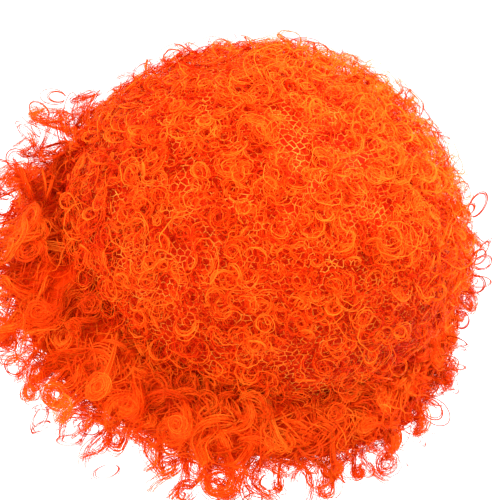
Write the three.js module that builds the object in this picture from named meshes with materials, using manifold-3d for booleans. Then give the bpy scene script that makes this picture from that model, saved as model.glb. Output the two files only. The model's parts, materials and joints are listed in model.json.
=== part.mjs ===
// A curly orange clown wig, shown net side out and held up as on a head.
//
// Millimetres, +Z up. The face looks toward -Y, the nape lies toward +Y and the wearer's left is +X.
// The origin is the highest point of the hollow, where the crown of the head sits.
// Angles named polar start at the pole of the cap. Angles named turn go round the cap, from the
// middle of the forehead (0) over the wearer's left ear (90) to the nape (180).

import * as THREE from "three";
import { mergeVertices } from "three/addons/utils/BufferGeometryUtils.js";
import Module from "manifold-3d";

const wasm = await Module();
wasm.setup();

// The hollow for the head
const HOLLOW_WIDTH = 172;
const HOLLOW_LENGTH = 184;
const HOLLOW_CROWN_HEIGHT = 79;

// The layers of the cap, from the head outward
const UNDER_HAIR_WALL = 16;
const NET_WALL = 1.5;
const SHORT_CURL_BACKING = 3;
const SHORT_CURL_RISE = 4.5;
const CLEARANCE = 0.3;

// The cap leans back, and ends a little below its widest place
const CAP_LEAN_DEGREES = 21;
const RIM_POLAR_DEGREES = 92;
const RIM_THREAD_DIAMETER = 2.4;

// The short curls on the net
const SHORT_LOCK_LENGTH = 30;
const SHORT_LOCK_WIDTH = 17;
const SHORT_LOCK_THICKNESS = 7;
const SHORT_LOCK_PITCH = 36;
const SHORT_LOCK_SLANT_DEGREES = 35;

// The long curls round the rim
const LONG_CURL_REACH = 54;
const LONG_CURL_DROP = 48;
const LONG_LOCK_WIDTH = 21;
const LONG_LOCK_PITCH = 42;

// How finely the round forms are faceted
const TURN_STEPS = 28;
const MASS_TURN_STEPS = 32;
const POLAR_STEPS = 8;
const THREAD_SIDES = 5;
const LONG_LOCK_SIDES = 5;

const ORANGE = 0xf4500f;
const LIGHT_ORANGE = 0xff8a35;
const DEEP_ORANGE = 0xc83208;

// What rounding leaves between two faces that nearly meet, in cubic millimetres
const SLIVER_VOLUME = 0.1;

const radians = THREE.MathUtils.degToRad;
const FULL_TURN = 2 * Math.PI;
const UP = new THREE.Vector3(0, 0, 1);

const capLean = radians(CAP_LEAN_DEGREES);
const hollowHalf = new THREE.Vector3(HOLLOW_WIDTH / 2, HOLLOW_LENGTH / 2, HOLLOW_CROWN_HEIGHT);

// How far each layer's faces stand off the hollow
const netInside = UNDER_HAIR_WALL + CLEARANCE;
const netOutside = netInside + NET_WALL;
const shortCurlInside = netOutside + CLEARANCE;
const shortCurlOutside = shortCurlInside + SHORT_CURL_BACKING;

// The rim, as a share of its polar angle: higher over the forehead, lower behind the ears
const rimTable = [
  { turn: 0, polar: 0.985 },
  { turn: 60, polar: 1.0 },
  { turn: 120, polar: 1.015 },
  { turn: 180, polar: 1.0 },
];

// How the long curls spread: reach and drop as shares of their named sizes, fall in mm down per mm out
const spreadTable = [
  { turn: 0, reach: 0.8, drop: 1.0, fall: 0.5 },
  { turn: 45, reach: 1.0, drop: 1.0, fall: 0.2 },
  { turn: 90, reach: 1.0, drop: 0.8, fall: 0.05 },
  { turn: 120, reach: 0.85, drop: 0.7, fall: 0.15 },
  { turn: 145, reach: 0.55, drop: 0.65, fall: 0.4 },
  { turn: 165, reach: 0.35, drop: 0.8, fall: 0.8 },
  { turn: 180, reach: 0.25, drop: 0.9, fall: 1.0 },
];

// The mass behind the long curls, cut upright: out and down as shares of reach and drop
const massTable = [
  { out: 0.28, down: 0.0 },
  { out: 0.56, down: 0.1 },
  { out: 0.72, down: 0.3 },
  { out: 0.7, down: 0.56 },
  { out: 0.5, down: 0.78 },
  { out: 0.2, down: 0.84 },
];

// The inner face of that mass, below the under hair: the same shares, from the hollow's wall
const massInnerTable = [
  { out: 0.06, down: 0.72 },
  { out: 0.0, down: 0.36 },
];

// Rows of long locks: where each row leaves the mass and where its tips lie
const longLockTable = [
  { row: "upper", rootOut: 0.34, rootDown: 0.26, tipOut: 0.94, tipDown: 0.06, shift: -0.1 },
  { row: "outer", rootOut: 0.36, rootDown: 0.4, tipOut: 1.0, tipDown: 0.56, shift: 0.1 },
  { row: "lower", rootOut: 0.3, rootDown: 0.4, tipOut: 0.66, tipDown: 1.0, shift: 0.0 },
];

// The four regions of long curls, by the turn where each begins and ends
const regionTable = [
  { name: "long_curls_front", from: -45, to: 45 },
  { name: "long_curls_left", from: 45, to: 135 },
  { name: "long_curls_nape", from: 135, to: 225 },
  { name: "long_curls_right", from: 225, to: 315 },
];

// Reads a column of a table at a turn, with the right half a mirror of the left
function readTable(table, column, turn) {
  const degrees = THREE.MathUtils.radToDeg(turn);
  const wrapped = Math.abs(THREE.MathUtils.euclideanModulo(degrees + 180, 360) - 180);
  const last = table.length - 1;
  let row = 0;
  while (row < last - 1 && table[row + 1].turn < wrapped) {
    row += 1;
  }
  const lower = table[row];
  const upper = table[row + 1];
  const share = THREE.MathUtils.smoothstep(wrapped, lower.turn, upper.turn);
  return THREE.MathUtils.lerp(lower[column], upper[column], share);
}

function rimPolar(turn) {
  return radians(RIM_POLAR_DEGREES) * readTable(rimTable, "polar", turn);
}

// A point on the layer that stands off the hollow by offset
function capPoint(polar, turn, offset) {
  const along = Math.cos(polar);
  const forward = Math.sin(polar) * Math.cos(turn);
  const sideways = Math.sin(polar) * Math.sin(turn);
  const back = along * Math.sin(capLean) - forward * Math.cos(capLean);
  const high = along * Math.cos(capLean) + forward * Math.sin(capLean);
  return new THREE.Vector3(
    sideways * (hollowHalf.x + offset),
    back * (hollowHalf.y + offset),
    high * (hollowHalf.z + offset) - hollowHalf.z,
  );
}

// The polar angle that a length spans on the layer at offset
function polarSpan(length, offset) {
  return length / (hollowHalf.y + offset);
}

// Level and square to the rim, away from the head
function outwardAt(turn, offset) {
  const point = capPoint(rimPolar(turn), turn, offset);
  const halfX = hollowHalf.x + offset;
  const halfY = hollowHalf.y + offset;
  return new THREE.Vector3(point.x / halfX ** 2, point.y / halfY ** 2, 0).normalize();
}

// Six times the volume that the triangles enclose, below zero where they face inward
function signedVolume(points, triangles) {
  let sum = 0;
  for (let i = 0; i < triangles.length; i += 3) {
    const [a, b, c] = triangles.slice(i, i + 3).map((index) => points[index]);
    sum += a.dot(new THREE.Vector3().crossVectors(b, c));
  }
  return sum;
}

function weld(points, triangles) {
  const geometry = new THREE.BufferGeometry();
  if (signedVolume(points, triangles) < 0) {
    triangles.reverse();
  }
  const flat = new Float32Array(points.flatMap((point) => [point.x, point.y, point.z]));
  geometry.setAttribute("position", new THREE.BufferAttribute(flat, 3));
  geometry.setIndex(triangles);
  return mergeVertices(geometry, 1e-4);
}

// Skins closed rings of points, which all go round the same way
function skin(rings, { loop = false, cap = null } = {}) {
  const sides = rings[0].length;
  const points = rings.flat();
  const triangles = [];
  const spans = loop ? rings.length : rings.length - 1;
  for (let i = 0; i < spans; i += 1) {
    const here = i * sides;
    const next = ((i + 1) % rings.length) * sides;
    for (let j = 0; j < sides; j += 1) {
      const k = (j + 1) % sides;
      triangles.push(here + j, here + k, next + k);
      triangles.push(here + j, next + k, next + j);
    }
  }
  if (!loop) {
    const end = (rings.length - 1) * sides;
    for (const [a, b, c] of cap ?? fan(sides)) {
      triangles.push(a, c, b);
      triangles.push(end + a, end + b, end + c);
    }
  }
  return weld(points, triangles);
}

function fan(sides) {
  return Array.from({ length: sides - 2 }, (unused, i) => [0, i + 1, i + 2]);
}

// A wall of the cap between two layers, from the pole to an edge that edgeAt gives at each turn
function domeWall(inside, outside, edgeAt) {
  const points = [capPoint(0, 0, outside), capPoint(0, 0, inside)];
  const triangles = [];
  for (const offset of [outside, inside]) {
    for (let i = 1; i <= POLAR_STEPS; i += 1) {
      for (let j = 0; j < TURN_STEPS; j += 1) {
        const turn = (j / TURN_STEPS) * FULL_TURN;
        points.push(capPoint((edgeAt(turn) * i) / POLAR_STEPS, turn, offset));
      }
    }
  }
  const layer = POLAR_STEPS * TURN_STEPS;
  const at = (side, i, j) => 2 + side * layer + (i - 1) * TURN_STEPS + (j % TURN_STEPS);
  for (let j = 0; j < TURN_STEPS; j += 1) {
    triangles.push(0, at(0, 1, j), at(0, 1, j + 1));
    triangles.push(1, at(1, 1, j + 1), at(1, 1, j));
    for (let i = 1; i < POLAR_STEPS; i += 1) {
      triangles.push(at(0, i, j), at(0, i + 1, j), at(0, i + 1, j + 1));
      triangles.push(at(0, i, j), at(0, i + 1, j + 1), at(0, i, j + 1));
      triangles.push(at(1, i, j), at(1, i + 1, j + 1), at(1, i + 1, j));
      triangles.push(at(1, i, j), at(1, i, j + 1), at(1, i + 1, j + 1));
    }
    triangles.push(at(0, POLAR_STEPS, j), at(1, POLAR_STEPS, j), at(1, POLAR_STEPS, j + 1));
    triangles.push(at(0, POLAR_STEPS, j), at(1, POLAR_STEPS, j + 1), at(0, POLAR_STEPS, j + 1));
  }
  return weld(points, triangles);
}

function toSolid(geometry) {
  return new wasm.Manifold(
    new wasm.Mesh({
      numProp: 3,
      vertProperties: geometry.attributes.position.array,
      triVerts: new Uint32Array(geometry.index.array),
    }),
  );
}

// Joins overlapping pieces, and fills any pocket that they close between them
function fuse(geometries) {
  const joined = geometries.map(toSolid).reduce((whole, piece) => whole.add(piece));
  const bodies = joined.decompose().filter((body) => body.volume() > SLIVER_VOLUME);
  const mesh = wasm.Manifold.compose(bodies).getMesh();
  const geometry = new THREE.BufferGeometry();
  geometry.setAttribute("position", new THREE.BufferAttribute(mesh.vertProperties, 3));
  geometry.setIndex(new THREE.BufferAttribute(mesh.triVerts, 1));
  return geometry;
}

function addPiece(group, name, geometry, color, roughness) {
  geometry.computeVertexNormals();
  const material = new THREE.MeshStandardMaterial({ color, roughness, metalness: 0 });
  const mesh = new THREE.Mesh(geometry, material);
  mesh.name = name;
  group.add(mesh);
}

// A lock follows a line of stations, each with its place, its width and two directions across it
function lock(stations, sides) {
  const rings = stations.map(({ place, across, over, width, height }) =>
    Array.from({ length: sides }, (unused, i) => {
      const angle = ((i + 0.5) / sides) * FULL_TURN;
      return place
        .clone()
        .addScaledVector(across, (Math.cos(angle) * width) / 2)
        .addScaledVector(over, (Math.sin(angle) * height) / 2);
    }),
  );
  return skin(rings);
}

// The short curls lie nearly flat on their backing, slanted one way round, with a lifted tip
const shortLockStations = [
  { along: -0.5, rise: -0.25, width: 0.6 },
  { along: 0.05, rise: 0.1, width: 1.0 },
  { along: 0.5, rise: 0.5, width: 0.5 },
];

function shortLock(polar, turn) {
  const slant = radians(SHORT_LOCK_SLANT_DEGREES);
  const place = (along, rise) => {
    const length = along * SHORT_LOCK_LENGTH;
    const offset = shortCurlOutside + rise * SHORT_CURL_RISE;
    const down = polarSpan(length * Math.cos(slant), offset);
    const round = polarSpan(length * Math.sin(slant), offset) / Math.sin(polar);
    return capPoint(polar + down, turn + round, offset);
  };
  const run = place(0.5, 0).sub(place(-0.5, 0)).normalize();
  const over = capPoint(polar, turn, shortCurlOutside).sub(capPoint(polar, turn, 0)).normalize();
  const across = new THREE.Vector3().crossVectors(over, run).normalize();
  const stations = shortLockStations.map(({ along, rise, width }) => ({
    place: place(along, rise),
    across,
    over,
    width: width * SHORT_LOCK_WIDTH,
    height: width * SHORT_LOCK_THICKNESS,
  }));
  return lock(stations, 4);
}

function shortCurls() {
  const pieces = [domeWall(shortCurlInside, shortCurlOutside, rimPolar)];
  const radius = hollowHalf.y + shortCurlOutside;
  const lastPolar = radians(RIM_POLAR_DEGREES) - polarSpan(SHORT_LOCK_LENGTH / 2, shortCurlOutside);
  const rows = Math.round((radius * lastPolar) / SHORT_LOCK_PITCH) + 1;
  for (let row = 0; row < rows; row += 1) {
    const polar = ((row + 0.5) / (rows - 0.5)) * lastPolar;
    const count = Math.round((FULL_TURN * radius * Math.sin(polar)) / SHORT_LOCK_PITCH);
    const stagger = row % 2 ? 0.5 : 0;
    for (let i = 0; i < count; i += 1) {
      pieces.push(shortLock(polar, ((i + stagger) / count) * FULL_TURN));
    }
  }
  return fuse(pieces);
}

// The thread that the net's edge is gathered on, under the net all the way round
const threadPolar = polarSpan(RIM_THREAD_DIAMETER / 2 + CLEARANCE, netOutside);
const massTopPolar = polarSpan(RIM_THREAD_DIAMETER + 2 * CLEARANCE, netOutside);
const underHairPolar = massTopPolar - polarSpan(CLEARANCE, netOutside);

function rimThread() {
  const middle = netInside + RIM_THREAD_DIAMETER / 2;
  const rings = [];
  const steps = 2 * TURN_STEPS;
  for (let i = 0; i < steps; i += 1) {
    const turn = (i / steps) * FULL_TURN;
    const place = capPoint(rimPolar(turn) + threadPolar, turn, middle);
    const over = place.clone().sub(capPoint(rimPolar(turn), turn, middle)).normalize();
    const across = outwardAt(turn, middle);
    const ring = Array.from({ length: THREAD_SIDES }, (unused, side) => {
      const angle = (side / THREAD_SIDES) * FULL_TURN;
      return place
        .clone()
        .addScaledVector(across, (-Math.cos(angle) * RIM_THREAD_DIAMETER) / 2)
        .addScaledVector(over, (-Math.sin(angle) * RIM_THREAD_DIAMETER) / 2);
    });
    rings.push(ring);
  }
  return skin(rings, { loop: true });
}

// A place in the long curls, out and down from the under side of the cap's edge
function spreadPoint(turn, out, down, from) {
  const reach = LONG_CURL_REACH * readTable(spreadTable, "reach", turn);
  const drop = LONG_CURL_DROP * readTable(spreadTable, "drop", turn);
  const fall = readTable(spreadTable, "fall", turn);
  const edge = capPoint(rimPolar(turn) + massTopPolar, turn, from);
  return edge
    .addScaledVector(outwardAt(turn, from), out * reach)
    .addScaledVector(UP, -down * drop - fall * out * reach);
}

function massSection(turn) {
  const top = rimPolar(turn) + massTopPolar;
  const outer = massTable.map(({ out, down }) => spreadPoint(turn, out, down, netOutside));
  const inner = massInnerTable.map(({ out, down }) => spreadPoint(turn, out, down, 0));
  return [capPoint(top, turn, 0), capPoint(top, turn, netOutside), ...outer, ...inner];
}

// Fills the end of a region, from its outline laid flat, with triangles that go round as the outline does
function capOf(section, turn) {
  const outward = outwardAt(turn, 0);
  const flat = section.map((point) => new THREE.Vector2(point.dot(outward), point.z));
  const sameWay = THREE.ShapeUtils.area(flat) > 0;
  const triangles = THREE.ShapeUtils.triangulateShape(flat, []);
  return triangles.map(([a, b, c]) => {
    const anticlockwise = THREE.ShapeUtils.area([flat[a], flat[b], flat[c]]) > 0;
    return anticlockwise === sameWay ? [a, b, c] : [a, c, b];
  });
}

// A long lock swings to one side and back as it runs from its root to its tip
const longLockStations = [
  { along: 0, swing: 0, width: 1 },
  { along: 0.4, swing: 0.3, width: 0.95 },
  { along: 0.75, swing: -0.2, width: 0.75 },
  { along: 1, swing: -0.4, width: 0.4 },
];

function longLock(turn, row) {
  const root = spreadPoint(turn, row.rootOut, row.rootDown, netOutside);
  const tip = spreadPoint(turn, row.tipOut, row.tipDown, netOutside);
  const run = tip.clone().sub(root).normalize();
  const across = new THREE.Vector3().crossVectors(run, outwardAt(turn, netOutside).add(UP)).normalize();
  const over = new THREE.Vector3().crossVectors(run, across).normalize();
  const stations = longLockStations.map(({ along, swing, width }) => ({
    place: root.clone().lerp(tip, along).addScaledVector(across, (swing * LONG_LOCK_WIDTH) / 2),
    across,
    over,
    width: width * LONG_LOCK_WIDTH,
    height: width * LONG_LOCK_WIDTH,
  }));
  return lock(stations, LONG_LOCK_SIDES);
}

function longCurls({ from, to }) {
  const radius = hollowHalf.y + netOutside + LONG_CURL_REACH / 2;
  const gap = CLEARANCE / hollowHalf.x;
  const start = radians(from) + gap;
  const end = radians(to) - gap;
  const steps = Math.round(((to - from) / 360) * MASS_TURN_STEPS);
  const sections = [];
  for (let i = 0; i <= steps; i += 1) {
    sections.push(massSection(THREE.MathUtils.lerp(start, end, i / steps)));
  }
  const mass = skin(sections, { cap: capOf(sections[0], start) });
  const pieces = [mass];
  for (const row of longLockTable) {
    const count = Math.round((radius * (end - start)) / LONG_LOCK_PITCH);
    for (let i = 0; i < count; i += 1) {
      const share = (i + 0.5 + row.shift) / count;
      pieces.push(longLock(THREE.MathUtils.lerp(start, end, share), row));
    }
  }
  return fuse(pieces);
}

const wig = new THREE.Group();
const underHairEdge = (turn) => rimPolar(turn) + underHairPolar;
addPiece(wig, "under_hair", domeWall(0, UNDER_HAIR_WALL, underHairEdge), DEEP_ORANGE, 0.6);
addPiece(wig, "net_cap", domeWall(netInside, netOutside, rimPolar), LIGHT_ORANGE, 0.55);
addPiece(wig, "rim_thread", rimThread(), LIGHT_ORANGE, 0.5);
addPiece(wig, "short_curls", shortCurls(), ORANGE, 0.5);
for (const region of regionTable) {
  addPiece(wig, region.name, longCurls(region), ORANGE, 0.5);
}

export default wig;
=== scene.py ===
import json
import math

import bmesh
import bpy
import numpy as np
from mathutils import Matrix, Vector

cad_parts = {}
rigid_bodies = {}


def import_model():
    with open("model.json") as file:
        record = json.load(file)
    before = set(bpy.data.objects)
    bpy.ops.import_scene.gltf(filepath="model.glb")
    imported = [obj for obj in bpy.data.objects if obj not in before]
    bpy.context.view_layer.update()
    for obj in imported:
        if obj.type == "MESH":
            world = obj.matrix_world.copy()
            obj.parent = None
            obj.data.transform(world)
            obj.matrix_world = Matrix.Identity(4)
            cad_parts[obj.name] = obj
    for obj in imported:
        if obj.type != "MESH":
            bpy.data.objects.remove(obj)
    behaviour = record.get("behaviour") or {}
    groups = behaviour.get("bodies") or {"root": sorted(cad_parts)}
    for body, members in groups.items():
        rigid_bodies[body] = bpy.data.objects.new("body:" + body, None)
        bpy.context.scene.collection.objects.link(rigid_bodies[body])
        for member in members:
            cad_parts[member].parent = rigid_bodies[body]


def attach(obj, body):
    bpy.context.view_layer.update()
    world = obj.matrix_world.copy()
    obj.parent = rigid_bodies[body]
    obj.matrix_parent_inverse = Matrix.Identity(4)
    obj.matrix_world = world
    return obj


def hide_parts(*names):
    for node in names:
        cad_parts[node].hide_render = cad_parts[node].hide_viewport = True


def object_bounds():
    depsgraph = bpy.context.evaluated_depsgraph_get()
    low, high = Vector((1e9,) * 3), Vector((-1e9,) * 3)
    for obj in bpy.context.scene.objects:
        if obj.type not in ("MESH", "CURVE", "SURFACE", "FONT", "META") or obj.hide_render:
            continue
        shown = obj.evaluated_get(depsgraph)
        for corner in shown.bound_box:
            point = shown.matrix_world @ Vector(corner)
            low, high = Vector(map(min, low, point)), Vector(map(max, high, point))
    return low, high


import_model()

CAD_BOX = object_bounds()
MM = 0.001

# The cap's sizes in millimetres, the same as in the solids. The origin is the top of the hollow.
HOLLOW_HALF = np.array([86.0, 92.0, 79.0])
CAP_LEAN = math.radians(21)
RIM_POLAR = math.radians(92)
UNDER_HAIR_WALL = 16.0
CLEARANCE = 0.3
NET_INSIDE = UNDER_HAIR_WALL + CLEARANCE
NET_OUTSIDE = NET_INSIDE + 1.5
RIM_THREAD_DIAMETER = 2.4
LONG_CURL_REACH = 54.0
LONG_CURL_DROP = 48.0

# Turn 0 is the middle of the forehead, 90 the wearer's left ear and 180 the nape. Polar is a share
# of RIM_POLAR, reach and drop are shares of the two lengths above, and fall is how steeply the long
# curls slope.
RIM_TABLE = {"turn": (0, 60, 120, 180), "polar": (0.985, 1.0, 1.015, 1.0)}
SPREAD_TABLE = {
    "turn": (0, 45, 90, 120, 145, 165, 180),
    "reach": (0.8, 1.0, 1.0, 0.85, 0.55, 0.35, 0.25),
    "drop": (1.0, 1.0, 0.8, 0.7, 0.65, 0.8, 0.9),
    "fall": (0.5, 0.2, 0.05, 0.15, 0.4, 0.8, 1.0),
}
REGIONS = {"front": (-45, 45), "left": (45, 135), "nape": (135, 225), "right": (225, 315)}

# The angle under the net's edge that the rim thread takes up. The long curls begin below it.
RIM_THREAD_ANGLE = (RIM_THREAD_DIAMETER + 2 * CLEARANCE) / (HOLLOW_HALF[1] + NET_OUTSIDE)


# Numbers that shape the cap


def read_table(table, column, turn):
    """A column of a table at each turn, with the right half a mirror of the left."""
    wrapped = np.abs((np.degrees(turn) + 180) % 360 - 180)
    stops = np.array(table["turn"], float)
    values = np.array(table[column], float)
    row = np.clip(np.searchsorted(stops, wrapped) - 1, 0, len(stops) - 2)
    share = np.clip((wrapped - stops[row]) / (stops[row + 1] - stops[row]), 0, 1)
    share = share * share * (3 - 2 * share)
    return values[row] + (values[row + 1] - values[row]) * share


def rim_polar(turn):
    """How far round from the crown the net's edge lies."""
    return RIM_POLAR * read_table(RIM_TABLE, "polar", turn)


def cap_point(polar, turn, offset):
    """Where a layer that stands off the hollow by offset lies, in millimetres."""
    along = np.cos(polar)
    forward = np.sin(polar) * np.cos(turn)
    sideways = np.sin(polar) * np.sin(turn)
    back = along * math.sin(CAP_LEAN) - forward * math.cos(CAP_LEAN)
    high = along * math.cos(CAP_LEAN) + forward * math.sin(CAP_LEAN)
    sides = [
        sideways * (HOLLOW_HALF[0] + offset),
        back * (HOLLOW_HALF[1] + offset),
        high * (HOLLOW_HALF[2] + offset) - HOLLOW_HALF[2],
    ]
    return np.stack(np.broadcast_arrays(*sides), axis=-1)


def unit(vectors):
    return vectors / np.maximum(np.linalg.norm(vectors, axis=-1, keepdims=True), 1e-9)


def cap_normal(points, offset):
    """Square to the layer at these points, away from the head."""
    half = HOLLOW_HALF + offset
    return unit((points + [0, 0, HOLLOW_HALF[2]]) / half**2)


def cap_frame(polar, turn, offset):
    """A point on a layer with its outward, downward and sideways directions."""
    step = 0.01
    point = cap_point(polar, turn, offset)
    out = cap_normal(point, offset)
    down = cap_point(polar + step, turn, offset) - point
    down = unit(down - out * np.sum(down * out, axis=-1, keepdims=True))
    return point, out, down, np.cross(out, down)


def outward(turn):
    """Level and square to the rim, away from the head."""
    point = cap_point(rim_polar(turn), turn, NET_OUTSIDE)
    half = HOLLOW_HALF + NET_OUTSIDE
    flat = np.stack([point[..., 0] / half[0] ** 2, point[..., 1] / half[1] ** 2], axis=-1)
    flat = unit(flat)
    return np.concatenate([flat, np.zeros_like(flat[..., :1])], axis=-1)


def spread_point(turn, out, down):
    """A place in the long curls, out and down as shares of their reach and drop."""
    reach = LONG_CURL_REACH * read_table(SPREAD_TABLE, "reach", turn)
    drop = LONG_CURL_DROP * read_table(SPREAD_TABLE, "drop", turn)
    fall = read_table(SPREAD_TABLE, "fall", turn)
    edge = cap_point(rim_polar(turn) + RIM_THREAD_ANGLE, turn, NET_OUTSIDE)
    place = edge + outward(turn) * (out * reach)[..., None]
    place[..., 2] -= down * drop + fall * out * reach
    return place


def height_over_net(points):
    """How far points stand off the outside of the net, in millimetres."""
    half = HOLLOW_HALF + NET_OUTSIDE
    return (np.linalg.norm((points + [0, 0, HOLLOW_HALF[2]]) / half, axis=-1) - 1) * half.mean()


def in_region(turn, bounds):
    low, high = bounds
    degrees = (np.degrees(turn) - low) % 360
    return degrees < high - low


def ripples(points, seed, height, pitch):
    """Low waves over a surface, a few sines in random directions, in millimetres."""
    sines = 9
    rng = np.random.default_rng(seed)
    total = np.zeros(points.shape[:-1])
    for _ in range(sines):
        way = unit(rng.normal(size=3)) * 2 * math.pi / (pitch * rng.uniform(0.7, 1.5))
        total = total + np.sin(points @ way + rng.uniform(0, 6.28))
    return total * height / math.sqrt(sines)


def tapered(rng, middle, strands, steps, taper=0.55):
    """Half width along each strand, narrower toward the tip."""
    t = np.linspace(0, 1, steps)[None, :]
    size = rng.normal(middle, 0.18 * middle, (strands, 1)).clip(0.5 * middle, 1.6 * middle)
    return size * (1 - taper * t**3)


# Materials

# Where the four tones lie on the ramp
TONE_STOPS = (0.0, 0.24, 0.5, 0.95)
# How much the soft patches and the fine lines shift the tone, and what brings it back to the middle
PATCH_SHIFT = 0.7
LINE_SHIFT = 0.9
SHIFT_MIDDLE = 0.82
BUMP_STRENGTH = 0.35


def linear(code):
    """An sRGB hex colour as linear red, green, blue and alpha."""
    parts = [int(code[i : i + 2], 16) / 255 for i in (1, 3, 5)]
    return [c / 12.92 if c <= 0.04045 else ((c + 0.055) / 1.055) ** 2.4 for c in parts] + [1.0]


def add_node(tree, kind, inputs=None, **settings):
    """Adds a node, sets its settings, and feeds each named input a value or another node's output."""
    node = tree.nodes.new(kind)
    for key, value in settings.items():
        setattr(node, key, value)
    for key, value in (inputs or {}).items():
        if isinstance(value, bpy.types.NodeSocket):
            tree.links.new(value, node.inputs[key])
        else:
            node.inputs[key].default_value = value
    return node


def fibre_material(name, tones, roughness, gloss, patch_mm, line_mm, bump_mm=0.1):
    """Synthetic fibre. Four tones from deep to light follow the shade attribute of each strand, with
    soft patches patch_mm wide and fine lines line_mm wide, as between the fibres of a bundle."""
    material = bpy.data.materials.new(name)
    material.use_nodes = True
    tree = material.node_tree
    tree.nodes.clear()
    place = add_node(tree, "ShaderNodeTexCoord").outputs["Object"]
    shade = add_node(tree, "ShaderNodeAttribute", attribute_name="shade").outputs["Fac"]
    patches = add_node(
        tree,
        "ShaderNodeTexNoise",
        {"Vector": place, "Scale": 1 / (patch_mm * MM), "Detail": 2.0},
    )
    lines = add_node(
        tree,
        "ShaderNodeTexNoise",
        {"Vector": place, "Scale": 1 / (line_mm * MM), "Detail": 1.0, "Roughness": 0.6},
    )
    patched = add_node(
        tree,
        "ShaderNodeMath",
        {0: patches.outputs["Fac"], 1: PATCH_SHIFT, 2: shade},
        operation="MULTIPLY_ADD",
    )
    streaked = add_node(
        tree,
        "ShaderNodeMath",
        {0: lines.outputs["Fac"], 1: LINE_SHIFT, 2: patched.outputs[0]},
        operation="MULTIPLY_ADD",
    )
    centred = add_node(
        tree, "ShaderNodeMath", {0: streaked.outputs[0], 1: SHIFT_MIDDLE}, operation="SUBTRACT"
    )
    ramp = add_node(tree, "ShaderNodeValToRGB", {"Fac": centred.outputs[0]})
    stops = ramp.color_ramp.elements
    stops[-1].position = TONE_STOPS[-1]
    for position in TONE_STOPS[1:-1]:
        stops.new(position)
    for stop, tone in zip(stops, tones):
        stop.color = linear(tone)
    bump = add_node(
        tree,
        "ShaderNodeBump",
        {"Height": lines.outputs["Fac"], "Strength": BUMP_STRENGTH, "Distance": bump_mm * MM},
    )
    surface = add_node(
        tree,
        "ShaderNodeBsdfPrincipled",
        {
            "Base Color": ramp.outputs["Color"],
            "Roughness": roughness,
            "Specular IOR Level": gloss,
            "Normal": bump.outputs["Normal"],
        },
    )
    add_node(tree, "ShaderNodeOutputMaterial", {"Surface": surface.outputs["BSDF"]})
    return material


# Modacrylic fibre, dyed in the melt and heat set on a rod in tight rings: soft, bright and almost
# without white gloss, because so many fine fibres scatter the light. Patches of 26 mm are the
# unevenness between neighbouring locks, and lines of 0.5 mm the fibres in a wisp.
SHORT_FIBRE = fibre_material(
    "curled_modacrylic_short",
    ("#B81800", "#DC2000", "#FC4803", "#FF7418"),
    roughness=0.55,
    gloss=0.03,
    patch_mm=26,
    line_mm=0.5,
)
# The same fibre set on a thicker rod, so that its rings are long; its light tone is a touch lighter,
# painted light for the long rings that catch a little more light. Its deep tone is browner: painted
# shade, as thin strands look darker against the light.
LONG_FIBRE = fibre_material(
    "curled_modacrylic_long",
    ("#BC4000", "#E03000", "#FA4C04", "#FF781A"),
    roughness=0.55,
    gloss=0.04,
    patch_mm=30,
    line_mm=0.5,
)
# The same fibre pressed flat under the net: duller, with coarser lines of 0.8 mm. Its upper tones are
# darker and redder, painted shade for the shade that the net and curls cast on it.
PRESSED_FIBRE = fibre_material(
    "pressed_modacrylic",
    ("#C01C00", "#D82400", "#F03400", "#FA4804"),
    roughness=0.6,
    gloss=0.05,
    patch_mm=20,
    line_mm=0.8,
)
# Fibre packed deep in the long curls, where only the red of many bounces gets out. Patches of 7 mm
# are whole wisps, and the bump of 0.8 mm their ridges.
PACKED_FIBRE = fibre_material(
    "packed_modacrylic",
    ("#D82400", "#E83000", "#F64000", "#FF5004"),
    roughness=0.7,
    gloss=0.03,
    patch_mm=7,
    line_mm=1.0,
    bump_mm=0.8,
)
# Polyester yarn knotted by machine: smoother and paler than the hair, with filaments of 0.4 mm
NET_YARN = fibre_material(
    "knotted_polyester_net",
    ("#FF6410", "#FF741A", "#FF8C28", "#FFAC40"),
    roughness=0.5,
    gloss=0.08,
    patch_mm=15,
    line_mm=0.4,
)
# Two polyester yarns twisted together: the same filaments, dyed a little deeper
RIM_YARN = fibre_material(
    "twisted_polyester_yarn",
    ("#E84804", "#F45C10", "#FF6C18", "#FF8A30"),
    roughness=0.5,
    gloss=0.08,
    patch_mm=12,
    line_mm=0.4,
)


# Geometry Nodes that sweep yarn along paths


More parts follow.
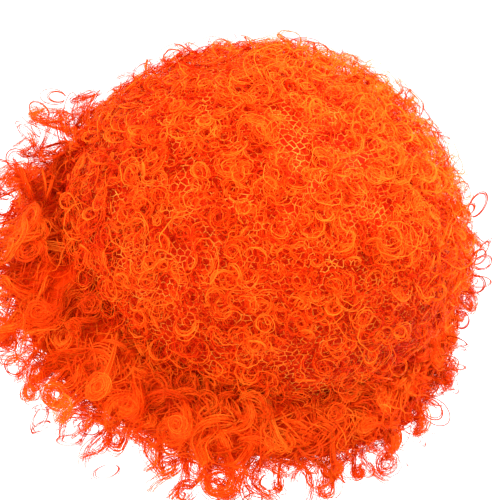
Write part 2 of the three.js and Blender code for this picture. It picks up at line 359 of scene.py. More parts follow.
def sweep_tree(name, flat):
    """A tree that turns edges into yarn: round with a few sides, or a flat bundle of fibres."""
    tree = bpy.data.node_groups.new(name, "GeometryNodeTree")
    tree.interface.new_socket("Paths", in_out="INPUT", socket_type="NodeSocketGeometry")
    tree.interface.new_socket("Fibre", in_out="INPUT", socket_type="NodeSocketMaterial")
    if not flat:
        tree.interface.new_socket("Sides", in_out="INPUT", socket_type="NodeSocketInt")
    tree.interface.new_socket("Yarn", in_out="OUTPUT", socket_type="NodeSocketGeometry")
    given = add_node(tree, "NodeGroupInput")
    lines = add_node(tree, "GeometryNodeMeshToCurve", {"Mesh": given.outputs["Paths"]})
    size = add_node(tree, "GeometryNodeInputNamedAttribute", {"Name": "thickness"})
    path = lines.outputs[0]
    if flat:
        lie = add_node(
            tree, "GeometryNodeInputNamedAttribute", {"Name": "lie"}, data_type="FLOAT_VECTOR"
        )
        turned = add_node(
            tree,
            "GeometryNodeSetCurveNormal",
            {"Curve": path, "Normal": lie.outputs["Attribute"]},
            mode="FREE",
        )
        path = turned.outputs[0]
        section = add_node(
            tree, "GeometryNodeCurvePrimitiveLine", {"Start": (0, -1, 0), "End": (0, 1, 0)}
        )
    else:
        section = add_node(
            tree,
            "GeometryNodeCurvePrimitiveCircle",
            {"Resolution": given.outputs["Sides"], "Radius": 1.0},
        )
    yarn = add_node(
        tree,
        "GeometryNodeCurveToMesh",
        {
            "Curve": path,
            "Profile Curve": section.outputs[0],
            "Scale": size.outputs["Attribute"],
        },
    )
    smooth = add_node(tree, "GeometryNodeSetShadeSmooth", {"Geometry": yarn.outputs[0]})
    real = add_node(tree, "GeometryNodeRealizeInstances", {"Geometry": smooth.outputs[0]})
    finish = add_node(
        tree,
        "GeometryNodeSetMaterial",
        {"Geometry": real.outputs[0], "Material": given.outputs["Fibre"]},
    )
    add_node(tree, "NodeGroupOutput", {"Yarn": finish.outputs[0]})
    return tree


ROUND_SWEEP = sweep_tree("sweep_round_yarn", flat=False)
FLAT_SWEEP = sweep_tree("sweep_flat_bundle", flat=True)


def set_input(modifier, name, value):
    """Sets the modifier's input of that name, by its socket's identifier."""
    for item in modifier.node_group.interface.items_tree:
        if item.name == name and getattr(item, "in_out", "") == "INPUT":
            modifier[item.identifier] = value


def path_mesh(name, points, edges, thickness, shade, lie=None):
    """Edges to sweep, with the half width, the tone and the way the flat side faces at each point."""
    mesh = bpy.data.meshes.new(name)
    mesh.vertices.add(len(points))
    mesh.vertices.foreach_set("co", (points * MM).astype(np.float32).ravel())
    mesh.edges.add(len(edges))
    mesh.edges.foreach_set("vertices", edges.astype(np.int32).ravel())
    for title, values in (("thickness", thickness * MM), ("shade", shade)):
        layer = mesh.attributes.new(title, "FLOAT", "POINT")
        layer.data.foreach_set("value", values.astype(np.float32).ravel())
    if lie is not None:
        layer = mesh.attributes.new("lie", "FLOAT_VECTOR", "POINT")
        layer.data.foreach_set("vector", lie.astype(np.float32).ravel())
    mesh.update()
    return mesh


def swept_mesh(name, mesh, tree, **inputs):
    """Sweeps the paths in mesh, with the tree's inputs by name, and returns the plain result."""
    holder = bpy.data.objects.new(name, mesh)
    bpy.context.scene.collection.objects.link(holder)
    modifier = holder.modifiers.new("sweep", "NODES")
    modifier.node_group = tree
    for title, value in inputs.items():
        set_input(modifier, title, value)
    graph = bpy.context.evaluated_depsgraph_get()
    result = bpy.data.meshes.new_from_object(holder.evaluated_get(graph), depsgraph=graph)
    bpy.data.objects.remove(holder)
    bpy.data.meshes.remove(mesh)
    for title in ("thickness", "lie"):
        if title in result.attributes:
            result.attributes.remove(result.attributes[title])
    return result


def strands_mesh(name, paths, thickness, shade, fibre, lie):
    """Flat strands from an array of paths: strand, point along it, x y z."""
    strands, steps, _ = paths.shape
    first = np.arange(strands * steps).reshape(strands, steps)
    edges = np.stack([first[:, :-1].ravel(), first[:, 1:].ravel()], axis=1)
    shades = np.broadcast_to(shade.reshape(strands, -1), (strands, steps)).ravel()
    points = paths.reshape(-1, 3)
    mesh = path_mesh(name, points, edges, thickness.ravel(), shades, lie.reshape(-1, 3))
    return swept_mesh(name, mesh, FLAT_SWEEP, Fibre=fibre)


def add_piece(name, meshes, nodes):
    """Joins meshes into one piece that stands for its solids."""
    for i, mesh in enumerate(meshes):
        part = bpy.data.objects.new(f"{name}_{i}", mesh)
        bpy.context.scene.collection.objects.link(part)
    parts = [bpy.data.objects[f"{name}_{i}"] for i in range(len(meshes))]
    if len(parts) > 1:
        with bpy.context.temp_override(
            active_object=parts[0], object=parts[0], selected_editable_objects=parts
        ):
            bpy.ops.object.join()
    piece = parts[0]
    piece.name = name
    piece.data.name = name
    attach(piece, "root")
    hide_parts(*nodes)


# The net: a hexagonal mesh of yarn, the dual of an icosphere, cut off at the rim

NET_SUBDIVISIONS = 6
NET_YARN_DIAMETER = 0.46
NET_YARN_VARIATION = 0.03
# The yarn's middle lies this far inside the outside of the net
NET_YARN_DEPTH = 0.3
# How far a knot lies from its even place
NET_UNEVENNESS = 0.5


def net_paths():
    """The knots of the net, the yarns as pairs of knots, and the way out at each knot."""
    ball = bmesh.new()
    bmesh.ops.create_icosphere(ball, subdivisions=NET_SUBDIVISIONS, radius=1)
    ball.faces.ensure_lookup_table()
    centres = unit(np.array([face.calc_center_median() for face in ball.faces]))
    pairs = [[face.index for face in edge.link_faces] for edge in ball.edges]
    ball.free()
    pairs = np.array(pairs)
    pole = np.array([0, math.sin(CAP_LEAN), math.cos(CAP_LEAN)])
    ahead = np.array([0, -math.cos(CAP_LEAN), math.sin(CAP_LEAN)])
    polar = np.arccos(np.clip(centres @ pole, -1, 1))
    turn = np.arctan2(centres[:, 0], centres @ ahead)
    below = polar > rim_polar(turn)
    pairs = pairs[~below[pairs].all(axis=1)]
    # A yarn that crosses the rim ends on it
    cut = np.minimum(polar, rim_polar(turn))
    middle = NET_OUTSIDE - NET_YARN_DEPTH
    points = cap_point(cut, turn, middle)
    rng = np.random.default_rng(11)
    shift = rng.normal(0, NET_UNEVENNESS, points.shape)
    normal = cap_normal(points, middle)
    shift -= normal * np.sum(shift * normal, axis=1, keepdims=True)
    points = points + np.where(below[:, None], 0, shift)
    used, edges = np.unique(pairs, return_inverse=True)
    return points[used], edges.reshape(-1, 2), normal[used]


def make_net():
    points, edges, normal = net_paths()
    rng = np.random.default_rng(12)
    thickness = rng.normal(NET_YARN_DIAMETER / 2, NET_YARN_VARIATION, len(points))
    shade = rng.normal(0.5, 0.15, len(points))
    mesh = path_mesh("net_mesh", points, edges, thickness, shade, normal)
    net = swept_mesh("net_mesh", mesh, FLAT_SWEEP, Fibre=NET_YARN)
    add_piece("net_mesh", [net], ["net_cap"])


# The rim thread: two yarns twisted together all the way round

TWIST_PITCH = 5.0
TWIST_STEPS = 5
# From the thread's middle to the middle of each yarn, and the yarn's own half width
TWIST_RADIUS = 0.58
RIM_YARN_RADIUS = 0.6
RIM_YARN_SIDES = 4
RIM_SAMPLES = 4000


def make_rim():
    middle = NET_INSIDE + RIM_THREAD_DIAMETER / 2
    turn = np.linspace(0, 2 * math.pi, RIM_SAMPLES)
    route = cap_point(rim_polar(turn) + RIM_THREAD_ANGLE / 2, turn, middle)
    length = np.concatenate([[0], np.cumsum(np.linalg.norm(np.diff(route, axis=0), axis=1))])
    twists = round(length[-1] / TWIST_PITCH)
    steps = twists * TWIST_STEPS
    at = np.interp(np.arange(steps) / steps * length[-1], length, turn)
    point, out, down, _ = cap_frame(rim_polar(at) + RIM_THREAD_ANGLE / 2, at, middle)
    spin = np.arange(steps) / TWIST_STEPS * 2 * math.pi
    yarns, edges = [], []
    for yarn in range(2):
        angle = (spin + yarn * math.pi)[:, None]
        yarns.append(point + (out * np.cos(angle) + down * np.sin(angle)) * TWIST_RADIUS)
        here = np.arange(steps) + yarn * steps
        edges.append(np.stack([here, np.roll(here, -1)], axis=1))
    points = np.concatenate(yarns)
    shade = np.random.default_rng(13).normal(0.55, 0.15, len(points))
    thickness = np.full(len(points), RIM_YARN_RADIUS)
    mesh = path_mesh("rim_twist", points, np.concatenate(edges), thickness, shade)
    rim = swept_mesh("rim_twist", mesh, ROUND_SWEEP, Fibre=RIM_YARN, Sides=RIM_YARN_SIDES)
    add_piece("rim_twist", [rim], ["rim_thread"])


# Short ring curls: each wisp leaves the net, runs on a little and loops round nearly flat

CURL_ROW_PITCH = 5.2
CURL_ROOT_PITCH = 5.4
CURL_STEPS = 14
# How far each strand of a wisp strays from the wisp's own line
CURL_STRAYING = np.array([0.4, 0.7, 1.0, 1.4, 2.0, 2.8])
# Strands that stray further than this count as lone ones, and are browner: painted shade, as thin
# strands look darker against the light
CURL_LONE = 1.9
CURL_HALF_WIDTH = 0.18
# Each strand starts this far inside the net, and no curl stands higher than this over it
CURL_ROOT_DEPTH = 0.8
CURL_TALLEST = 13
CURL_WIDEST = 8.5
# Painted light and shade: how fast the tone lightens with each millimetre over the net, and the height
# that has the middle tone
PAINTED_LIGHT_BY_HEIGHT = 0.07
MIDDLE_HEIGHT = 3.6
# Thin patches where the net shows: how far apart they lie, and the level above which no hair grows
THIN_PATCH_PITCH = 15.0
THIN_PATCH_LEVEL = 0.8
# Curls are combed out over the right and the back of the crown, and ringed elsewhere
COMBED_WAY = np.array([-0.55, 0.45, 0.7])


def curl_roots(rng):
    """Roots in rows round the pole, as the hair is knotted into the net."""
    polars, turns = [], []
    arc = (HOLLOW_HALF[1] + NET_OUTSIDE) * RIM_POLAR
    rows = round(arc / CURL_ROW_PITCH)
    for row in range(rows + 1):
        share = (row + 0.3) / (rows + 0.4)
        ring = 2 * math.pi * (HOLLOW_HALF[1] + NET_OUTSIDE) * math.sin(share * RIM_POLAR)
        count = max(3, round(ring / CURL_ROOT_PITCH))
        turn = (np.arange(count) + rng.random()) / count * 2 * math.pi
        turn = turn + rng.normal(0, 0.35, count) * 2 * math.pi / count
        polars.append(rim_polar(turn) * share + rng.normal(0, 0.012, count))
        turns.append(turn)
    return np.concatenate(polars), np.concatenate(turns)


def curl_paths(rng, polar, turn, look):
    """Paths of the strands in each wisp, and the way each strand's flat side faces."""
    point, out, down, side = cap_frame(polar, turn, NET_OUTSIDE)
    count, strands = len(polar), len(CURL_STRAYING)
    heading = look["heading"][:, None]
    ahead = down * np.cos(heading) + side * np.sin(heading)
    across = np.cross(out, ahead) * look["hand"][:, None]
    t = np.linspace(0, 1, CURL_STEPS)[None, None, :]

    def per_wisp(name):
        return look[name][:, None, None]

    stray = CURL_STRAYING[None, :, None] * per_wisp("loose")

    def scatter(amount):
        return rng.normal(0, 1, (count, strands, 1)).clip(-2, 2) * amount * stray

    radius = per_wisp("radius") * np.exp(scatter(0.14))
    turns = per_wisp("turns") * np.exp(scatter(0.07))
    lean = per_wisp("lean") + scatter(0.06)
    start = scatter(0.16)
    angle = start + 2 * math.pi * turns * t
    shrink = 1 - per_wisp("shrink") * t
    phase = rng.random((count, strands, 1))
    ripple = 0.45 * np.sin(2 * math.pi * (t * 3.2 + phase)) * stray**0.5
    reach = radius + ripple
    along = reach * np.sin(angle) * shrink + (per_wisp("drift") + scatter(0.8)) * t
    bulge = radius - reach * np.cos(angle) * shrink
    height = per_wisp("height") + scatter(0.35)
    settle = np.clip(t / 0.2, 0, 1)
    lift = -CURL_ROOT_DEPTH + (height + CURL_ROOT_DEPTH) * settle + 0.7 * np.sin(math.pi * t)
    lift = np.clip(lift + bulge * np.sin(lean), -CURL_ROOT_DEPTH, CURL_TALLEST)
    bulge = bulge * np.cos(lean) + scatter(0.45)
    along = along + scatter(0.45)
    paths = (
        point[:, None, None]
        + along[..., None] * ahead[:, None, None]
        + bulge[..., None] * across[:, None, None]
        + lift[..., None] * out[:, None, None]
    )
    tilt = rng.normal(0, 0.45, (count, strands, 1, 3))
    lie = unit(np.broadcast_to(out[:, None, None] + tilt, paths.shape))
    return paths.reshape(-1, CURL_STEPS, 3), lie.reshape(-1, CURL_STEPS, 3)


def curl_looks(rng, count, combed, low, behind):
    """The size and lie of each wisp. Combed and low ones, from 0 to 1, are longer and opener."""
    standing = rng.random(count) < 0.09
    open_arc = (rng.random(count) < 0.3 + 0.4 * behind) & ~standing
    rows = np.where(rng.random(count) < 0.5, 1.25, -1.0)
    # The way it runs, as an angle from straight down, and the side that it loops to
    heading = np.where(rng.random(count) < low, 0.0, rows) + rng.normal(0, 0.5, count)
    hand = np.where(rng.random(count) < 0.6, 1.0, -1.0)
    # The ring's radius in millimetres and how many times it goes round
    radius = rng.gamma(12, 0.34, count) * (1 + 0.7 * combed) * np.where(open_arc, 1.5, 1)
    part_ring = rng.uniform(0.35, 0.75, count)
    turns = np.where(open_arc, part_ring, rng.uniform(0.9, 1.5, count)) * (1 - 0.45 * combed)
    shrink = rng.uniform(0, 0.4, count) * np.where(standing, 0.3, 1)
    # How far it runs on and how high it stands, in millimetres, and how it leans out
    drift = np.where(standing, 0, rng.normal(1.5, 2.2, count) + 5 * combed + 4 * low)
    lean = np.where(standing, rng.uniform(0.4, 0.9, count), rng.normal(0.1, 0.1, count))
    height = rng.uniform(0.1, 3.8, count) * (1 + 1.2 * combed) + 2.5 * combed
    return {
        "heading": heading,
        "hand": hand,
        "radius": np.minimum(radius, CURL_WIDEST),
        "turns": turns,
        "shrink": shrink,
        "loose": np.where(standing, 0.4, 1),
        "drift": drift,
        "lean": lean,
        "height": height,
    }


def make_short_curls():
    rng = np.random.default_rng(21)
    polar, turn = curl_roots(rng)
    point = cap_point(polar, turn, NET_OUTSIDE)
    kept = ripples(point, 22, 1.0, THIN_PATCH_PITCH) < THIN_PATCH_LEVEL
    polar, turn, point = polar[kept], turn[kept], point[kept]
    facing = cap_normal(point, NET_OUTSIDE) @ unit(COMBED_WAY)
    combed = np.clip((facing - 0.55) / 0.4, 0, 1) * rng.uniform(0.3, 1.0, len(polar))
    low = np.clip(polar / rim_polar(turn) * 6 - 5, 0, 1)
    behind = np.clip(0.5 - 0.8 * np.cos(turn), 0, 1) * np.clip(polar / RIM_POLAR * 2 - 0.5, 0, 1)
    looks = curl_looks(rng, len(polar), combed, low, behind)
    # Each wisp's tone is random, and a little lighter the higher it stands: painted light
    wisp_shade = rng.normal(0.5, 0.08, len(polar)) + (looks["height"] - 2.3) * 0.02
    for region, bounds in REGIONS.items():
        chosen = in_region(turn, bounds)
        look = {key: values[chosen] for key, values in looks.items()}
        paths, lie = curl_paths(rng, polar[chosen], turn[chosen], look)
        count = len(paths)
        shade = np.repeat(wisp_shade[chosen], len(CURL_STRAYING)) + rng.normal(0, 0.22, count)
        # Lone strands are darker: painted shade, as thin strands look darker against the light
        lone = np.tile(CURL_STRAYING, chosen.sum()) > CURL_LONE
        shade = shade - 0.03 - 0.2 * lone * rng.random(count)
        # Painted shade and light: fibre deep in the curls is redder, and the tops of the curls are
        # lighter
        height = height_over_net(paths) - MIDDLE_HEIGHT
        shade = shade[:, None] + PAINTED_LIGHT_BY_HEIGHT * height.clip(-4, 5)
        thickness = tapered(rng, CURL_HALF_WIDTH, count, CURL_STEPS)
        hair = strands_mesh(f"short_{region}", paths, thickness, shade, SHORT_FIBRE, lie)
        add_piece(f"short_rings_{region}", [hair], ["short_curls"])


# Long ringlets round the rim: corkscrews, flat spirals and waves

LOCK_STEPS = 23
LOCK_STRANDS = 23
LOCK_STRAYING = np.concatenate([np.linspace(0.4, 1.3, LOCK_STRANDS - 3), [1.7, 2.1, 2.6]])
LOCK_LONE = 1.5
LOCK_HALF_WIDTH = 0.19

# Root and tip are out and down, as in spread_point, and locks is the count in a quarter of the rim.
# Shade is each row's tone: painted light and shade, lighter for the upper and outer rows on top,
# darker for the near, lower and inner rows under them.
LOCK_ROWS = {
    "near": {"root": (0.0, -0.03), "tip": (0.34, -0.08), "locks": 24, "shade": 0.44},
    "upper": {"root": (0.05, 0.03), "tip": (0.82, 0.02), "locks": 24, "shade": 0.54},
    "outer": {"root": (0.18, 0.2), "tip": (1.04, 0.42), "locks": 26, "shade": 0.52},
    "lower": {"root": (0.14, 0.34), "tip": (0.9, 0.95), "locks": 21, "shade": 0.46},
    "inner": {"root": (0.02, 0.3), "tip": (0.34, 1.04), "locks": 12, "shade": 0.4},
}
# Rows with their tips above this share of the drop are the upper ones, which rise over the forehead
UPPER_TIPS = 0.3
# The fringe is fuller where it reaches further out
FULLNESS = {"front": 1.02, "left": 1.15, "nape": 0.8, "right": 0.96}


def combed_close(turn):
    """1 where the hair at the right of the nape is combed close to the rim."""
    return np.exp(-(((np.degrees(turn) % 360 - 212) / 24) ** 2))


def forehead_rise(turn):
    """Near 1 over the left of the forehead, where the fringe stands highest, and less on its right."""
    degrees = (np.degrees(turn) + 180) % 360 - 180
    right = 0.2 * np.exp(-(((degrees + 40) / 20) ** 2))
    return np.exp(-(((degrees - 24) / 26) ** 2)) + right


def nape_side(turn):
    return np.clip(-np.cos(turn) * 2 - 0.4, 0, 1)


def front_side(turn):
    return np.clip(np.cos(turn) * 2 - 0.6, 0, 1)


def lock_ends(rng, turn, row):
    """Where each lock of a row leaves the rim, and the run from there to its tip."""
    count = len(turn)
    root_out, root_down = row["root"]
    tip_out, tip_down = row["tip"]
    upper = tip_down < UPPER_TIPS
    root = spread_point(turn, root_out, root_down + rng.normal(0, 0.1, count))
    out = tip_out + rng.normal(-0.06, 0.12, count)
    nape = 0 if upper else np.clip(-np.cos(turn) * 2, 0, 1)
    down = tip_down + rng.normal(0, 0.14, count) + 0.22 * nape
    down = down - rng.uniform(0.15, 0.6, count) * forehead_rise(turn) * upper
    tip = spread_point(turn + rng.normal(0, 0.1, count), out, down)
    # The right of the nape is combed close
    return root, (tip - root) * (1 - 0.55 * combed_close(turn))[:, None]


def lock_paths(rng, turn, row):
    """Paths of the strands in each lock, and the way each strand's flat side faces."""
    count = len(turn)
    root, run = lock_ends(rng, turn, row)
    close = combed_close(turn)
    axis = unit(run)
    away = outward(turn)
    facing = unit(away + np.array([0, 0, 1.1]) + rng.normal(0, 0.42, (count, 3)))
    first = unit(np.cross(axis, facing))
    second = np.cross(axis, first)
    flat_first = unit(np.cross(facing, np.array([0.3, 0.2, 1.0])))
    flat_second = np.cross(facing, flat_first)
    t = np.linspace(0, 1, LOCK_STEPS)[None, None, :]
    stray = LOCK_STRAYING[None, :, None]

    def scatter(amount):
        return rng.normal(0, 1, (count, LOCK_STRANDS, 1)).clip(-2, 2) * amount * stray

    def per_lock(values):
        return values[:, None, None]

    def spot(values):
        return values[:, None, None, :]

    # How often a lock goes round, how wide it is and how each of its strands wobbles
    winds = per_lock(rng.uniform(1.2, 2.1, count)) * np.exp(scatter(0.04))
    filled = rng.uniform(0.5, 1.15, (count, LOCK_STRANDS, 1))
    room = (0.55 + 0.45 * read_table(SPREAD_TABLE, "reach", turn)) * (1 - 0.25 * close)
    wide = per_lock(rng.gamma(12, 0.6, count) * room) * filled
    oval = per_lock(rng.uniform(0.7, 1.0, count))
    beat = rng.uniform(2.2, 4.0, (2, count, LOCK_STRANDS, 1))
    wobble = 0.5 * stray * np.sin(beat[0] * 2 * math.pi * t + 2 * math.pi * beat[1])
    hand = per_lock(np.where(rng.random(count) < 0.5, 1.0, -1.0))
    angle = per_lock(rng.uniform(0, 2 * math.pi, count)) + scatter(0.18)
    angle = angle + hand * 2 * math.pi * winds * t
    grow = np.clip(t / 0.3, 0, 1) * (1 - 0.2 * t)
    drift = [scatter(1.15) * (0.5 + t) for _ in range(3)]
    # Three kinds of lock: a corkscrew, a wave, and a flat spiral that faces out
    cork = (
        spot(root)
        + spot(run) * t[..., None]
        + spot(first) * (np.cos(angle) * (wide + wobble) * grow + drift[0])[..., None]
        + spot(second) * (np.sin(angle) * oval * wide * grow + drift[1])[..., None]
    )
    wave = (
        spot(root)
        + spot(run) * t[..., None]
        + spot(first) * (np.sin(angle) * wide * 0.6 * grow + drift[0])[..., None]
        + spot(second) * (drift[1] + wobble + 3.0 * np.sin(math.pi * t))[..., None]
    )
    spiral_size = wide * 1.25 * (1 - 0.4 * t)
    ring = (
        spot(root + run * 0.82)
        + spot(flat_first) * (np.cos(angle) * (spiral_size + wobble) + drift[0])[..., None]
        + spot(flat_second) * (np.sin(angle) * oval * spiral_size + drift[1])[..., None]
        + spot(facing) * (drift[2] + wobble + 3.0 * t)[..., None]
    )
    join = np.clip(t / 0.28, 0, 1)
    join = (join * join * (3 - 2 * join))[..., None]
    # The strands of a lock leave the net side by side, not from one point
    fan = spot(flat_first) * drift[0][..., None] + spot(second) * drift[1][..., None]
    fan = fan * 2.4
    spiral = (spot(root) + fan) * (1 - join) + ring * join
    cork = cork + fan * (1 - join)
    wave = wave + fan * (1 - join)
    kind = rng.random(count) - 0.3 * np.maximum(nape_side(turn), front_side(turn))
    kind = kind[:, None, None, None]
    paths = np.where(kind < 0.32, cork, np.where(kind < 0.76, spiral, wave))
    # No strand enters the cap
    gap = np.sum((paths - spot(root)) * spot(away), axis=-1)
    paths = paths + spot(away) * np.maximum(-gap - 3.0, 0)[..., None]
    tilt = rng.normal(0, 0.5, (count, LOCK_STRANDS, 1, 3))
    lie = unit(np.broadcast_to(spot(facing) + tilt, paths.shape))
    return paths.reshape(-1, LOCK_STEPS, 3), lie.reshape(-1, LOCK_STEPS, 3)


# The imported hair's section, out and down as in spread_point. It begins under the pressed hair.
CORE_SECTION = (
    (-0.22, -0.02),
    (0.03, 0.0),
    (0.26, 0.05),
    (0.48, 0.24),
    (0.6, 0.4),
    (0.56, 0.58),
    (0.38, 0.74),
    (0.12, 0.78),
    (-0.05, 0.62),
    (-0.14, 0.3),
)

BROAD_WAVES = 450
BROAD_STEPS = 16
BROAD_HALF_WIDTH = 0.34
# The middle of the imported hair, which the waves go round
CORE_HEART = (0.12, 0.42)


def broad_waves(rng, region, low, high):
    """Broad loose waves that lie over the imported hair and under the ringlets."""
    count = BROAD_WAVES
    turn = np.radians(rng.uniform(low, high, count))
    # More of them begin on the upper side
    around = rng.uniform(0, 1, count) ** 1.5
    section = np.array(CORE_SECTION[1:-1])
    t = np.linspace(0, 1, BROAD_STEPS)[None, :]
    spot = (around[:, None] * 0.65 + 0.4 * t) * (len(section) - 1)
    spot = spot + rng.normal(0, 0.3, (count, 1))
    share = np.clip(spot, 0, len(section) - 1)
    knots = np.arange(len(section))
    slim = 1.1 - 0.5 * combed_close(turn)
    out = np.interp(share, knots, section[:, 0]) * slim[:, None]
    down = np.interp(share, knots, section[:, 1])
    sway = np.radians(5.5) * np.sin(2 * math.pi * (t * rng.uniform(0.8, 2, (count, 1))))
    slant = np.radians(rng.normal(0, 9, (count, 1))) * t
    at = turn[:, None] + sway * rng.uniform(0.3, 1, (count, 1)) + slant
    at = np.radians(np.clip(np.degrees(at), low, high))
    lift = rng.uniform(0.5, 4.5, (count, 1)) + 1.5 * np.sin(2 * math.pi * (2 * t + around[:, None]))
    shape = at.shape + (3,)
    paths = spread_point(at.ravel(), out.ravel(), down.ravel()).reshape(shape)
    heart = spread_point(at.ravel(), *CORE_HEART).reshape(shape)
    lie = unit(paths - heart)
    paths = paths + lie * lift[..., None]
    thickness = tapered(rng, BROAD_HALF_WIDTH, count, BROAD_STEPS, 0.8)
    shade = rng.normal(0.46, 0.16, count)
    return strands_mesh(f"broad_{region}", paths, thickness, shade, LONG_FIBRE, lie)


LOOPS = 44
LOOP_STRANDS = 3
LOOP_HALF_WIDTH = 0.25
# The open part of each loop, as an angle on either side of where it leaves the lock
LOOP_OPENING = 0.4


def lone_loops(rng, region, low, high):
    """Thin loops of a few fibres that stand out past the ringlets."""
    turn = np.radians(rng.uniform(low, high, LOOPS))
    # Every other loop over the left of the forehead stands on top of the fringe
    raised = 0.45 * front_side(turn) * (turn > 0) * (np.arange(LOOPS) % 2)
    out = rng.uniform(0.5, 0.95, LOOPS) * (1 - 0.5 * combed_close(turn))
    start = spread_point(turn, out, rng.uniform(-0.15, 0.95, LOOPS) * (1 - raised) - raised)
    push = unit(outward(turn) + rng.normal(0, 0.45, (LOOPS, 3)) + np.array([0, 0, 0.35]))
    across = unit(np.cross(push, rng.normal(0, 1.0, (LOOPS, 3)) + np.array([0, 0, 0.3])))
    facing = np.cross(across, push)
    size = rng.uniform(4.0, 8.5, (LOOPS, 1, 1))
    size = size * (1 + rng.normal(0, 0.09, (LOOPS, LOOP_STRANDS, 1)))
    ends = (math.pi + LOOP_OPENING, 3 * math.pi - LOOP_OPENING)
    angle = np.linspace(*ends, LOCK_STEPS)[None, None, :]
    centre = start[:, None, None] + push[:, None, None] * size[..., None] * 1.05
    centre = centre + rng.normal(0, 0.3, (LOOPS, LOOP_STRANDS, 1, 3))
    squeeze = rng.uniform(0.5, 1.0, (LOOPS, 1, 1))
    paths = centre + push[:, None, None] * (np.cos(angle) * size)[..., None]
    paths = paths + across[:, None, None] * (np.sin(angle) * size * squeeze)[..., None]
    lie = np.broadcast_to(facing[:, None, None], paths.shape).reshape(-1, LOCK_STEPS, 3)
    paths = paths.reshape(-1, LOCK_STEPS, 3)
    thickness = tapered(rng, LOOP_HALF_WIDTH, len(paths), LOCK_STEPS, 0.2)
    # The loops are browner than the ringlets: painted shade, as thin fibres look darker against the
    # light
    shade = rng.normal(0.12, 0.12, len(paths))
    return strands_mesh(f"loops_{region}", paths, thickness, shade, LONG_FIBRE, lie)


def make_long_curls():
    rng = np.random.default_rng(31)
    for region, (low, high) in REGIONS.items():
        meshes = []
        for row in LOCK_ROWS.values():
            count = round(row["locks"] * FULLNESS[region])
            share = (np.arange(count) + rng.uniform(0.1, 0.9, count)) / count
            turn = np.radians(low + (high - low) * share)
            paths, lie = lock_paths(rng, turn, row)
            number = len(paths)
            # Each lock's tone follows its row's: painted light and shade by how deep the row lies
            shade = np.repeat(rng.normal(row["shade"], 0.1, count), LOCK_STRANDS)
            shade = shade + rng.normal(0, 0.13, number)
            # Lone strands are browner: painted shade, as thin strands look darker against the light
            lone = np.tile(LOCK_STRAYING, count) > LOCK_LONE
            shade = shade + 0.05 - 0.26 * lone
            thickness = tapered(rng, LOCK_HALF_WIDTH, number, LOCK_STEPS)
            hair = strands_mesh(f"long_{region}", paths, thickness, shade, LONG_FIBRE, lie)
            meshes.append(hair)
        meshes.append(broad_waves(rng, region, low, high))
        meshes.append(lone_loops(rng, region, low, high))
        nodes = [f"long_curls_{region}"]
        add_piece(f"long_ringlets_{region}", meshes, nodes)


# The hair behind: a wall pressed inside the net, and a full core inside the long curls


# The tone of both skins, darker than the middle: painted shade, as they lie under the strands
SKIN_SHADE = 0.35


def grid_mesh(name, grid, fibre):
    """A skin over a grid of points, whose columns close on themselves."""
    rows, columns, _ = grid.shape
    mesh = bpy.data.meshes.new(name)
    faces = []
    for i in range(rows - 1):
        for j in range(columns):
            right = (j + 1) % columns
            here, below = i * columns, (i + 1) * columns
            faces.append((here + j, here + right, below + right, below + j))
    mesh.from_pydata((grid.reshape(-1, 3) * MM).tolist(), [], faces)
    mesh.materials.append(fibre)
    shade = mesh.attributes.new("shade", "FLOAT", "POINT")
    shade.data.foreach_set("value", np.full(rows * columns, SKIN_SHADE, np.float32))
    mesh.polygons.foreach_set("use_smooth", np.ones(len(faces), bool))
    return mesh


def point_outward(mesh):
    """Turns every face of a closed skin to its outside."""
    shell = bmesh.new()
    shell.from_mesh(mesh)
    bmesh.ops.remove_doubles(shell, verts=shell.verts, dist=1e-6)
    bmesh.ops.recalc_face_normals(shell, faces=shell.faces)
    shell.to_mesh(mesh)
    shell.free()


# The mat's skin is this fine, round and from the crown down
MAT_COLUMNS = 120
MAT_ROWS = 34
# Its two skins and the loops pressed on them: how far each lies off the hollow, and which way it faces
MAT_SKINS = ({"offset": UNDER_HAIR_WALL - 0.6, "order": 1}, {"offset": 1.0, "order": -1})
PRESSED_LOOPS = (
    {"offset": UNDER_HAIR_WALL - 0.4, "count": 500, "way": 1},
    {"offset": 0.6, "count": 440, "way": -1},
)
PRESSED_HALF_WIDTH = 0.35


def pressed_paths(rng, polar, turn, offset, way):
    """Loops pressed flat against the mat, on its outside or on the wall of the hollow."""
    angle = rng.uniform(0, 2 * math.pi, len(polar))[:, None]
    winds = rng.uniform(0.5, 1.3, len(polar))[:, None]
    radius = rng.gamma(14, 0.4, len(polar))[:, None] / (HOLLOW_HALF[1] + offset)
    t = np.linspace(0, 1, CURL_STEPS)[None, :]
    sweep = angle + 2 * math.pi * winds * t
    drift = rng.normal(0, 6, (2, len(polar), 1)) / (HOLLOW_HALF[1] + offset) * t
    steady = np.maximum(np.sin(polar), 0.08)[:, None]
    at_polar = polar[:, None] + radius * np.cos(sweep) + drift[0]
    at_turn = turn[:, None] + (radius * np.sin(sweep) + drift[1]) / steady
    at_polar = np.clip(at_polar, 0.001, rim_polar(at_turn))
    paths = cap_point(at_polar, at_turn, offset + rng.uniform(-0.2, 0.3, (len(polar), 1)))
    return paths, cap_normal(paths, offset) * way


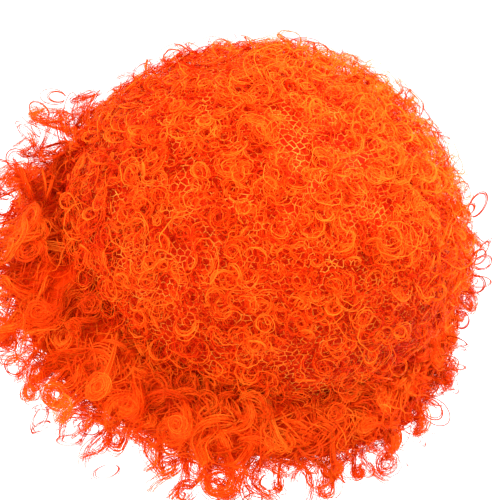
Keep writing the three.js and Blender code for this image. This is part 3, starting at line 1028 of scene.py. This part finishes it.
def make_under_hair():
    turn = np.linspace(0, 2 * math.pi, MAT_COLUMNS, endpoint=False)
    edge = rim_polar(turn) + RIM_THREAD_ANGLE * 0.9
    layers = []
    for skin in MAT_SKINS:
        share = np.linspace(0.0005, 1, MAT_ROWS)[:: skin["order"]]
        polar = share[:, None] * edge[None, :]
        points = cap_point(polar, turn[None, :], skin["offset"])
        wave = ripples(points, 41, 0.5, 9.0)
        layers.append(points + cap_normal(points, skin["offset"]) * wave[..., None])
    mat = grid_mesh("under_hair_mat", np.concatenate(layers), PRESSED_FIBRE)
    point_outward(mat)
    meshes = [mat]
    rng = np.random.default_rng(42)
    for row in PRESSED_LOOPS:
        count = row["count"]
        polar = np.arccos(rng.uniform(math.cos(RIM_POLAR), 1, count))
        turn = rng.uniform(0, 2 * math.pi, count)
        polar = np.minimum(polar, rim_polar(turn) - 0.02)
        paths, lie = pressed_paths(rng, polar, turn, row["offset"], row["way"])
        thickness = tapered(rng, PRESSED_HALF_WIDTH, count, CURL_STEPS)
        shade = rng.normal(0.5, 0.16, count)
        meshes.append(strands_mesh("pressed", paths, thickness, shade, PRESSED_FIBRE, lie))
    add_piece("under_hair_mat", meshes, ["under_hair"])


# The core's skin is this fine, along the rim and round the section. Neighbours overlap by a little,
# in degrees, so that no seam shows.
CORE_COLUMNS = 66
CORE_RING = 30
CORE_OVERLAP = 0.2


def make_core():
    for region, (low, high) in REGIONS.items():
        turn = np.radians(np.linspace(low - CORE_OVERLAP, high + CORE_OVERLAP, CORE_COLUMNS))
        section = np.array(CORE_SECTION + CORE_SECTION[:1])
        knots = np.arange(len(section))
        at = np.linspace(0, len(CORE_SECTION), CORE_RING, endpoint=False)
        outs, downs = (np.interp(at, knots, section[:, i]) for i in range(2))
        slim = 1 - 0.5 * combed_close(turn)
        ring = [spread_point(turn, out * slim, down) for out, down in zip(outs, downs)]
        grid = np.stack(ring, axis=1)
        heart = grid.mean(axis=1, keepdims=True)
        wave = ripples(grid, 43, 1.6, 11.0) * (outs > 0.1)[None, :]
        grid = grid + unit(grid - heart) * wave[..., None]
        # Both ends close in a point
        caps = [
            np.broadcast_to(end.mean(axis=1, keepdims=True), end.shape)
            for end in (grid[:1], grid[-1:])
        ]
        grid = np.concatenate([caps[0], grid, caps[1]])
        mesh = grid_mesh(f"core_{region}", grid, PACKED_FIBRE)
        point_outward(mesh)
        nodes = [f"long_curls_{region}"]
        add_piece(f"long_curl_core_{region}", [mesh], nodes)


# Camera at the photograph's angle, a plain pale floor and soft light

VIEW_AZIMUTH = 132.0
VIEW_ELEVATION = 37.0
VIEW_DISTANCE = 1.0
FRAME_PIXELS = 500
MM_PER_PIXEL = 0.55
DOME_PIXEL = (256.5, 233.5)
SENSOR_MM = 36.0
# Nothing carries the wig, so the floor lies well under it
FLOOR_DROP = 0.5
FLOOR_HALF = 8.0
KEY_WATTS = 21
FILL_WATTS = 11
WORLD_STRENGTH = 1.18


def make_camera():
    azimuth, elevation = math.radians(VIEW_AZIMUTH), math.radians(VIEW_ELEVATION)
    back = Vector(
        (
            math.sin(azimuth) * math.cos(elevation),
            -math.cos(azimuth) * math.cos(elevation),
            math.sin(elevation),
        )
    )
    right = Vector((math.cos(azimuth), math.sin(azimuth), 0))
    up = back.cross(right)
    middle = FRAME_PIXELS / 2
    dome = Vector((0, 0, -HOLLOW_HALF[2] * MM))
    aim = dome - right * (DOME_PIXEL[0] - middle) * MM_PER_PIXEL * MM
    aim = aim + up * (DOME_PIXEL[1] - middle) * MM_PER_PIXEL * MM
    camera = bpy.data.cameras.new("photo_camera")
    camera.sensor_width = SENSOR_MM
    camera.lens = SENSOR_MM * VIEW_DISTANCE / (FRAME_PIXELS * MM_PER_PIXEL * MM)
    camera.clip_start = 0.05
    camera.clip_end = 20
    eye = bpy.data.objects.new("photo_camera", camera)
    turn = Matrix((right, up, back)).transposed()
    eye.matrix_world = Matrix.Translation(aim + back * VIEW_DISTANCE) @ turn.to_4x4()
    bpy.context.scene.collection.objects.link(eye)
    bpy.context.scene.camera = eye
    return right, up, back, aim


def make_light(name, place, aim, size, power):
    light = bpy.data.lights.new(name, "AREA")
    light.size = size
    light.energy = power
    lamp = bpy.data.objects.new(name, light)
    lamp.location = place
    lamp.rotation_euler = (aim - place).to_track_quat("-Z", "Y").to_euler()
    bpy.context.scene.collection.objects.link(lamp)


def make_stage():
    right, up, back, aim = make_camera()
    make_light("key", aim + right * 0.7 + up * 0.9 + back * 0.5, aim, 0.7, KEY_WATTS)
    make_light("fill", aim - right * 1.0 + up * 0.2 + back * 0.8, aim, 1.2, FILL_WATTS)
    world = bpy.data.worlds.new("studio")
    world.use_nodes = True
    sky = world.node_tree.nodes["Background"]
    sky.inputs["Color"].default_value = (1, 1, 1, 1)
    sky.inputs["Strength"].default_value = WORLD_STRENGTH
    bpy.context.scene.world = world
    # The fibre's orange is more saturated than the default view leaves it
    bpy.context.scene.view_settings.view_transform = "Standard"
    mesh = bpy.data.meshes.new("floor")
    level = CAD_BOX[0][2] - FLOOR_DROP
    signs = ((-1, -1), (1, -1), (1, 1), (-1, 1))
    corners = [(x * FLOOR_HALF, y * FLOOR_HALF, level) for x, y in signs]
    mesh.from_pydata(corners, [], [(0, 1, 2, 3)])
    paper = bpy.data.materials.new("pale_backdrop_paper")
    paper.use_nodes = True
    shader = paper.node_tree.nodes["Principled BSDF"]
    shader.inputs["Base Color"].default_value = linear("#FAFAFA")
    shader.inputs["Roughness"].default_value = 0.9
    mesh.materials.append(paper)
    floor = bpy.data.objects.new("floor", mesh)
    bpy.context.scene.collection.objects.link(floor)


make_stage()
make_net()
make_rim()
make_under_hair()
make_core()
make_short_curls()
make_long_curls()
